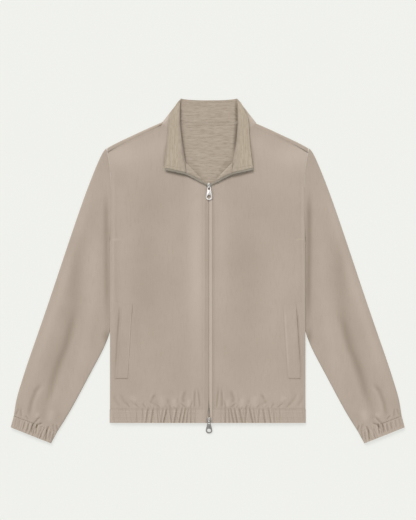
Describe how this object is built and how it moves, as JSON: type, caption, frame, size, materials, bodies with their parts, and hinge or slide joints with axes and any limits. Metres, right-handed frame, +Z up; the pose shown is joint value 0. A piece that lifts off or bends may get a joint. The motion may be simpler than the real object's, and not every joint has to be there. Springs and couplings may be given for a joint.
{
  "type": "bomber jacket",
  "caption": "Light bomber jacket with a small stand collar worn open, a two-way front zip, slanted pockets and elasticated hem and cuffs, laid flat.",
  "frame": {"origin": "centre of the footprint, on the surface that the jacket lies on", "axes": "+Z up, away from the surface; +Y from the hem to the collar; +X to the wearer's left"},
  "size_m": [0.8952, 0.7829, 0.0152],
  "materials": {
    "shell_cloth": "matt taupe woven shell with a fine pinkish melange",
    "heather_jersey": "soft heather jersey in khaki and grey",
    "zip_tape": "ribbed light grey-beige tape with moulded teeth",
    "nickel": "polished nickel"
  },
  "bodies": {
    "jacket": {"back": "shell_cloth", "back_lining": "heather_jersey", "collar_inner": "heather_jersey", "collar_outer": "shell_cloth", "cuff_left": "shell_cloth", "cuff_right": "shell_cloth", "front_left": "shell_cloth", "front_right": "shell_cloth", "hem_back": "shell_cloth", "hem_front_left": "shell_cloth", "hem_front_right": "shell_cloth", "lapel_left": "heather_jersey", "lapel_right": "heather_jersey", "pocket_welt_left": "shell_cloth", "pocket_welt_right": "shell_cloth", "sleeve_left": "shell_cloth", "sleeve_right": "shell_cloth", "slider_bottom": "nickel", "slider_top": "nickel", "zip_chain": "zip_tape", "zip_lip_left": "shell_cloth", "zip_lip_right": "shell_cloth", "zip_tape_left": "zip_tape", "zip_tape_right": "zip_tape"},
    "pull_top": {"pull_top": "nickel"},
    "pull_bottom": {"pull_bottom": "nickel"}
  },
  "joints": [
    {"name": "pull_top_hinge", "type": "hinge", "parent": "jacket", "child": "pull_top", "pos_m": [0.003, 0.1905, 0.0117], "axis": [-1, 0, 0], "range_deg": [0, 170]},
    {"name": "pull_bottom_hinge", "type": "hinge", "parent": "jacket", "child": "pull_bottom", "pos_m": [0.003, -0.341, 0.0121], "axis": [-1, 0, 0], "range_deg": [0, 185]}
  ]
}
